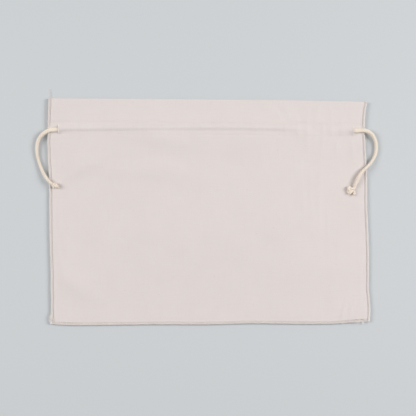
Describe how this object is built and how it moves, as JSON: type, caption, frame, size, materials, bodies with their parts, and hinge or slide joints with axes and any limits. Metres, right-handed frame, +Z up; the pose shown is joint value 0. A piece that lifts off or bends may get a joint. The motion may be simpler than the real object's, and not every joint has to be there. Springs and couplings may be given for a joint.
{
  "type": "drawstring bag",
  "caption": "Flat, empty cotton drawstring bag with a hemmed mouth, a cord casing along the front hem, overlocked sides and bottom, and a knotted cord end at each side.",
  "frame": {"origin": "on the surface the bag lies on, under the middle of the bag without its cord ends", "axes": "+X along the mouth, to the right as the bag is seen from above, +Y from the bottom seam towards the mouth, +Z up from the surface"},
  "size_m": [0.3768, 0.2496, 0.0154],
  "materials": {
    "calico": "matt plain-weave cotton, undyed off-white",
    "thread": "matt off-white overlock thread",
    "cord": "soft matt cotton cord, cream"
  },
  "bodies": {
    "root": {"back_panel": "calico", "front_panel": "calico", "overlock_left": "thread", "overlock_bottom": "thread", "overlock_right": "thread", "drawstring_in_casing": "cord", "drawstring_left": "cord", "drawstring_right": "cord", "knot_left": "cord", "knot_right": "cord"}
  },
  "joints": []
}
